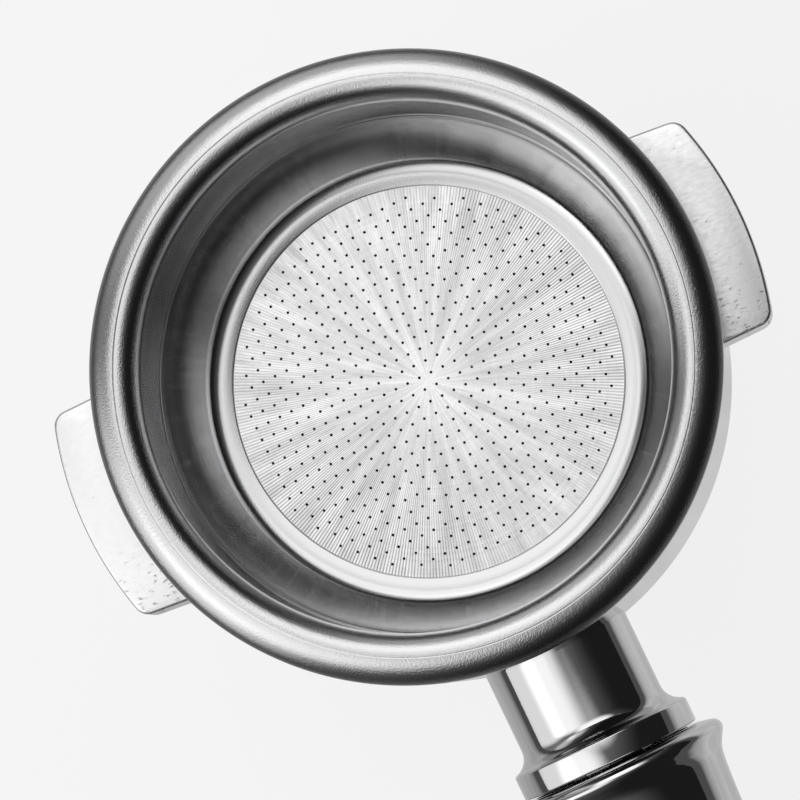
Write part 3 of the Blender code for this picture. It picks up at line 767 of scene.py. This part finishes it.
def lug_corner(lean):
    """Centre of the rounding between the outer edge and a side at -X that leans in by this angle."""
    along = Vector((math.sin(lean), math.cos(lean)))
    inward = Vector((math.cos(lean), -math.sin(lean)))
    start = Vector((-LUG_HALF_WIDTH, LUG_SIDE_START)) + LUG_CORNER * inward
    reach = start.dot(along)
    travel = math.sqrt(reach ** 2 - start.length_squared + (LUG_REACH - LUG_CORNER) ** 2) - reach
    return start + travel * along


def lug(turn):
    """Bayonet lug with rounded corners: one side straight, the other leaning in."""
    straight = lug_corner(0)
    straight.x = -straight.x
    leaning = lug_corner(LUG_TAPER)
    start = math.degrees(math.atan2(straight.y, straight.x))
    end = math.degrees(math.atan2(leaning.y, leaning.x))
    rounding = (LUG_CORNER, LUG_CORNER)
    root = math.degrees(math.acos(LUG_HALF_WIDTH / LUG_ROOT))
    corners = arc((0, 0), (LUG_ROOT, LUG_ROOT), 180 - root, root, 12)
    corners += arc(straight, rounding, 0, start, 10)
    corners += arc((0, 0), (LUG_REACH, LUG_REACH), start, end, 40)[1:-1]
    corners += arc(leaning, rounding, end, 180 - math.degrees(LUG_TAPER), 10)
    mesh = bmesh.new()
    face = mesh.faces.new([mesh.verts.new((x, y, LUG_TOP - LUG_THICKNESS)) for x, y in corners])
    raised = bmesh.ops.extrude_face_region(mesh, geom=[face])["geom"]
    top = [item for item in raised if isinstance(item, bmesh.types.BMVert)]
    bmesh.ops.translate(mesh, verts=top, vec=(0, 0, LUG_THICKNESS))
    bmesh.ops.recalc_face_normals(mesh, faces=mesh.faces)
    rims = [edge for edge in mesh.edges if abs(edge.verts[0].co.z - edge.verts[1].co.z) < LUG_EDGE]
    bmesh.ops.bevel(mesh, geom=rims, offset=LUG_EDGE, segments=3, profile=0.5, affect="EDGES")
    return make_object("lug", mesh, Matrix.Rotation(turn, 4, "Z"))


def neck():
    """Mirror-bright neck that flares into the collar that the handle seats on."""
    flare_centre = (NECK_RADIUS + NECK_FLARE, COLLAR_START - NECK_FLARE)
    front_edge = (COLLAR_RADIUS - COLLAR_EDGE, COLLAR_START + COLLAR_EDGE)
    back_edge = (COLLAR_RADIUS - COLLAR_EDGE, COLLAR_END - COLLAR_EDGE)
    edge = (COLLAR_EDGE, COLLAR_EDGE)
    outline = [(0, NECK_START), (NECK_RADIUS, NECK_START)]
    outline += arc(flare_centre, (NECK_FLARE, NECK_FLARE), 180, 105, 14)
    outline += arc(front_edge, edge, -60, 0, 4) + arc(back_edge, edge, 0, 90, 5)
    outline.append((0, COLLAR_END))
    return make_object("neck", turned(outline, NECK_SEGMENTS), HANDLE_MATRIX)


def stud_hole():
    """Tool for the threaded hole in the neck, open at the collar."""
    outline = plug(STUD_HOLE, STUD_FLOOR, RECESS_FLOOR)
    return make_object("stud_hole", turned(outline, STUD_HOLE_SEGMENTS), HANDLE_MATRIX)


def build_holder():
    holder = make_object("holder", turned(holder_outline(), HOLDER_SEGMENTS))
    combine(holder, neck(), "UNION")
    combine(holder, lug(0), "UNION")
    combine(holder, lug(math.pi), "UNION")
    combine(holder, stud_hole(), "DIFFERENCE")
    smooth(holder)
    coat(holder, chrome("holder_chrome", seed=0.3), ground_steel("lug_ground_steel"))
    for face in holder.data.polygons:
        x, y, _ = face.center
        beyond = abs(y) > math.sqrt(max(RING_RADIUS ** 2 - x * x, 0)) + TOUCH
        face.material_index = int(abs(x) < LUG_HALF_WIDTH + LUG_MARGIN and beyond)
    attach(holder, "holder")
    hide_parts("body_casting")


# ---------------------------------------------------------------- handle

def build_ferrule():
    """Chromed ferrule: a rounded bead at the neck, then a slow waist."""
    outline = [(STUD_HOLE, RECESS_FLOOR), (RECESS_RADIUS, RECESS_FLOOR), (RECESS_RADIUS, FERRULE_START)]
    outline += [(radius * MM, station * MM) for station, radius in smooth_curve(FERRULE_CURVE, 5)]
    outline += [(SOCKET_RADIUS, FERRULE_END), (SOCKET_RADIUS, SOCKET_FLOOR), (STUD_HOLE, SOCKET_FLOOR)]
    ferrule = make_object("ferrule", turned(outline, HANDLE_SEGMENTS), HANDLE_MATRIX)
    coat(ferrule, chrome("ferrule_chrome", seed=0.7))
    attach(ferrule, "handle")
    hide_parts("handle_ferrule")


def build_grip():
    """Turned grip with a smooth swell, bored for the stud and pocketed for the bush and the end nut."""
    outline = [(radius * MM, station * MM) for station, radius in smooth_curve(GRIP_CURVE, 6)]
    outline += [(NUT_POCKET + CAP_ROUND, GRIP_END), (NUT_POCKET, GRIP_END - CAP_ROUND)]
    outline += [(NUT_POCKET, NUT_POCKET_START), (STUD_HOLE, NUT_POCKET_START), (STUD_HOLE, BUSH_FLOOR)]
    outline += [(BUSH_HOLE, BUSH_FLOOR), (BUSH_HOLE, TENON_START), (TENON_RADIUS, TENON_START)]
    outline.append((TENON_RADIUS, GRIP_START))
    grip = make_object("grip", turned(outline, HANDLE_SEGMENTS), HANDLE_MATRIX)
    coat(grip, phenolic("grip_phenolic"))
    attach(grip, "handle")
    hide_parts("handle_grip")


def build_end_cap():
    """Domed cap with a grooved spigot."""
    groove_floor, groove_low, groove_high = CAP_GROOVE
    dome = (CAP_RADIUS, CAP_HEIGHT - CAP_EDGE)
    outline = [(0, CAP_BORE_FLOOR), (CAP_SPIGOT_BORE, CAP_BORE_FLOOR), (CAP_SPIGOT_BORE, CAP_SPIGOT_START)]
    outline += [(CAP_SPIGOT_RADIUS - CAP_ROUND, CAP_SPIGOT_START)]
    outline += [(CAP_SPIGOT_RADIUS, CAP_SPIGOT_START + CAP_ROUND), (CAP_SPIGOT_RADIUS, groove_low)]
    outline += [(groove_floor, groove_low), (groove_floor, groove_high), (CAP_SPIGOT_RADIUS, groove_high)]
    outline.append((CAP_SPIGOT_RADIUS, CAP_FACE))
    outline += arc((CAP_RADIUS - CAP_ROUND, CAP_FACE + CAP_ROUND), (CAP_ROUND, CAP_ROUND), -90, 0, 4)
    outline += arc((0, CAP_FACE + CAP_EDGE), dome, 0, 90, 28)[:-1]
    outline.append((0, CAP_FACE + CAP_HEIGHT))
    cap = make_object("end_cap_visual", turned(outline, HANDLE_SEGMENTS), HANDLE_MATRIX)
    coat(cap, chrome("cap_chrome", seed=1.1))
    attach(cap, "cap")
    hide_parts("end_cap")


# ---------------------------------------------------------------- spout

def build_lock_nut():
    """Hexagon nut with its corners turned down at both faces."""
    bottom = LOCK_NUT_LOW.z
    top = LOCK_NUT_HIGH.z
    flat = LOCK_NUT_ACROSS_FLATS / 2
    corner = flat / math.cos(math.pi / 6)
    prism = turned(plug(corner, bottom - LOCK_NUT_OVERSIZE, top + LOCK_NUT_OVERSIZE), 6)
    nut = make_object("lock_nut", prism, Matrix.Rotation(math.pi / 6, 4, "Z"))
    reach = corner + LOCK_NUT_OVERSIZE
    slope = (reach - flat) * math.tan(LOCK_NUT_CHAMFER)
    blank = [(LOCK_NUT_BORE, bottom), (flat, bottom), (reach, bottom + slope)]
    blank += [(reach, top - slope), (flat, top), (LOCK_NUT_BORE, top)]
    combine(nut, make_object("nut_blank", turned(blank, LOCK_NUT_SEGMENTS)), "INTERSECT")
    smooth(nut, LOCK_NUT_SHARP)
    coat(nut, chrome("lock_nut_chrome", seed=1.5, roughness=0.08))
    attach(nut, "lock_nut")
    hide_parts("spout_lock_nut")


def cross_piece(name, outline):
    """Outline of (radius, distance from the middle) points turned about the ports' axis."""
    matrix = Matrix.Translation((0, 0, PORT_HEIGHT)) @ Matrix.Rotation(math.pi / 2, 4, "X")
    return make_object(name, turned(outline, SPOUT_SEGMENTS), matrix)


def build_hub():
    """Threaded nipple, round head and two side ports, bored through."""
    chamfer = NIPPLE_CHAMFER
    turn_height = PORT_HEIGHT - HUB_TURN
    outline = [(0, HUB_HIGH.z), (NIPPLE_RADIUS - chamfer, HUB_HIGH.z), (NIPPLE_RADIUS, HUB_HIGH.z - chamfer)]
    outline.append((NIPPLE_RADIUS, HUB_TOP))
    outline += arc((HUB_RADIUS - chamfer, HUB_TOP - chamfer), (chamfer, chamfer), 90, 0, 5)
    outline += arc((0, turn_height), (HUB_RADIUS, turn_height - HUB_LOW.z), 0, -90, 28)[:-1]
    outline.append((0, HUB_LOW.z))
    hub = make_object("hub", turned(outline, HANDLE_SEGMENTS))
    stub = [(0, -PORT_REACH)]
    stub += arc((STUB_RADIUS - STUB_ROUND, STUB_ROUND - PORT_REACH), (STUB_ROUND, STUB_ROUND), -90, 0, 4)
    stub += [(radius, -place) for radius, place in reversed(stub)]
    combine(hub, cross_piece("port_stub", stub), "UNION")
    channel = plug(CHANNEL_RADIUS, PORT_HEIGHT - CHANNEL_OVERRUN, HUB_HIGH.z + CHANNEL_OVERRUN)
    combine(hub, make_object("hub_channel", turned(channel, SPOUT_SEGMENTS)), "DIFFERENCE")
    reach = PORT_REACH + CHANNEL_OVERRUN
    combine(hub, cross_piece("port_bore", plug(TUBE_BORE, -reach, reach)), "DIFFERENCE")
    smooth(hub)
    coat(hub, chrome("hub_chrome", seed=1.9))
    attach(hub, "spout")
    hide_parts("spout_hub")


def tube_stations():
    """Centre, and direction of travel, of each ring along the tube."""
    rings = [(Vector((0, TUBE_START, PORT_HEIGHT)), Vector((0, 1, 0)))]
    centre = Vector((0, TUBE_START, PORT_HEIGHT - TUBE_BEND))
    steps = 24
    for step in range(1, steps + 1):
        angle = math.pi / 2 * step / steps
        spoke = Vector((0, math.sin(angle), math.cos(angle)))
        rings.append((centre + spoke * TUBE_BEND, Vector((0, math.cos(angle), -math.sin(angle)))))
    spot, way = rings[-1]
    rings.append((spot + way * TUBE_TIP, way))
    return rings


def tube_skin():
    """Rings of (centre, travel, radius) along the outside of the tube and back through its bore."""
    stations = tube_stations()
    first, first_way = stations[0]
    last, last_way = stations[-1]
    step_in = TUBE_ROUND / 3
    face = TUBE_RADIUS - TUBE_ROUND
    shoulder = TUBE_RADIUS - TUBE_ROUND / 4
    skin = [(first, first_way, face), (first + first_way * step_in, first_way, shoulder)]
    skin += [(spot, way, TUBE_RADIUS) for spot, way in stations[1:-1]]
    skin.append((last - last_way * TUBE_ROUND, last_way, TUBE_RADIUS))
    skin += [(last - last_way * step_in, last_way, shoulder), (last, last_way, face)]
    skin += [(spot, way, TUBE_BORE) for spot, way in reversed(stations)]
    return skin


def ring_points(spot, way, radius):
    """Points of a circle round the spot, square to the way."""
    across = Vector((1, 0, 0))
    up = across.cross(way)
    points = []
    for step in range(SPOUT_SEGMENTS):
        angle = 2 * math.pi * step / SPOUT_SEGMENTS
        points.append(spot + radius * (math.cos(angle) * across + math.sin(angle) * up))
    return points


def build_tube(side, turn):
    """Bent outlet tube: out of the hub's port, through a right angle, and straight down."""
    mesh = bmesh.new()
    loops = [[mesh.verts.new(point) for point in ring_points(*ring)] for ring in tube_skin()]
    for near, far in zip(loops, loops[1:] + loops[:1]):
        for step in range(SPOUT_SEGMENTS):
            after = (step + 1) % SPOUT_SEGMENTS
            mesh.faces.new((near[step], near[after], far[after], far[step]))
    tube = make_object(side + "_tube", mesh, Matrix.Rotation(turn, 4, "Z"))
    coat(tube, chrome(side + "_tube_chrome", seed=2.3 + turn))
    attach(tube, "spout")
    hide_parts("spout_tube_" + side)


def dress_cad_nodes():
    """CAD nodes whose shape is right keep it and take a finished material."""
    looks = {
        "retaining_spring": machined("spring_wire", SPRING_STEEL, 0.2),
        "handle_stud": machined("stud_plating", PLATING, 0.3),
        "neck_washer": nylon("washer_nylon"),
        "ferrule_o_ring": rubber("ring_rubber"),
        "grip_bush": machined("bush_brass", BRASS, 0.3),
        "end_washer": machined("washer_plating", PLATING, 0.3),
        "end_nut": machined("nut_plating", PLATING, 0.3),
        "end_cap_o_ring": rubber("cap_ring_rubber"),
        "spout_gasket": rubber("gasket_rubber"),
    }
    for node, material in looks.items():
        coat(frame["nodes"][node], material)


# ---------------------------------------------------------------- studio

def build_camera():
    camera = bpy.data.objects.new("camera", bpy.data.cameras.new("camera"))
    bpy.context.scene.collection.objects.link(camera)
    back = (CAMERA_PLACE - CAMERA_AIM).normalized()
    up_hint = Vector((math.cos(CAMERA_TOP), math.sin(CAMERA_TOP), 0))
    right = up_hint.cross(back).normalized()
    up = back.cross(right)
    camera.matrix_world = Matrix((right, up, back)).transposed().to_4x4()
    camera.location = CAMERA_PLACE
    camera.data.lens = CAMERA_LENS
    camera.data.sensor_width = 36
    camera.data.clip_start = 0.01
    camera.data.clip_end = 20
    bpy.context.scene.camera = camera


def build_floor():
    half = FLOOR_SIZE / 2
    mesh = bmesh.new()
    bmesh.ops.create_grid(mesh, x_segments=8, y_segments=8, size=half)
    paper = make_object("floor", mesh, Matrix.Translation((0, 0, CAD_BOX[0].z - FLOOR_GAP)))
    coat(paper, floor_paper("paper"))


class Sky(Nodes):
    """Studio light as a dome: soft boxes that fade at their edges, over a dim surround."""

    def __init__(self):
        world = bpy.data.worlds.new("studio")
        bpy.context.scene.world = world
        world.use_nodes = True
        super().__init__(world.node_tree)
        self.tree.nodes.clear()
        self.way = self.node("TexCoord").outputs["Generated"]

    def lobe(self, azimuth, zenith, core, edge, strength):
        """Light centred on a direction, full within core degrees and gone by edge degrees."""
        around = CAMERA_RIGHT + math.radians(azimuth)
        across = math.sin(math.radians(zenith))
        dot = self.node("VectorMath", operation="DOT_PRODUCT")
        self.wire(self.way, dot.inputs[0])
        centre = (across * math.cos(around), across * math.sin(around), math.cos(math.radians(zenith)))
        dot.inputs[1].default_value = centre
        made = self.node("MapRange", interpolation_type="SMOOTHSTEP")
        fade_start = math.cos(math.radians(edge))
        fade_end = math.cos(math.radians(core))
        for value, socket in zip((dot.outputs["Value"], fade_start, fade_end, 0.0, strength), made.inputs):
            self.wire(value, socket)
        return made.outputs[0]

    def finish(self, light):
        background = self.node("Background")
        self.wire(self.camera_sees(BACKDROP, light), background.inputs["Strength"])
        out = self.node("OutputWorld")
        self.wire(background.outputs[0], out.inputs["Surface"])


def build_sky():
    """Soft boxes above and to the left, and a dark right side."""
    sky = Sky()
    light = DARK_SIDE
    for lobe in SOFT_BOXES:
        light = sky.math("ADD", light, sky.lobe(*lobe))
    sky.finish(light)


bpy.context.scene.view_settings.view_transform = "Standard"
build_camera()
build_basket()
build_holder()
build_ferrule()
build_grip()
build_end_cap()
build_lock_nut()
build_hub()
build_tube("left", 0)
build_tube("right", math.pi)
dress_cad_nodes()
build_floor()
build_sky()
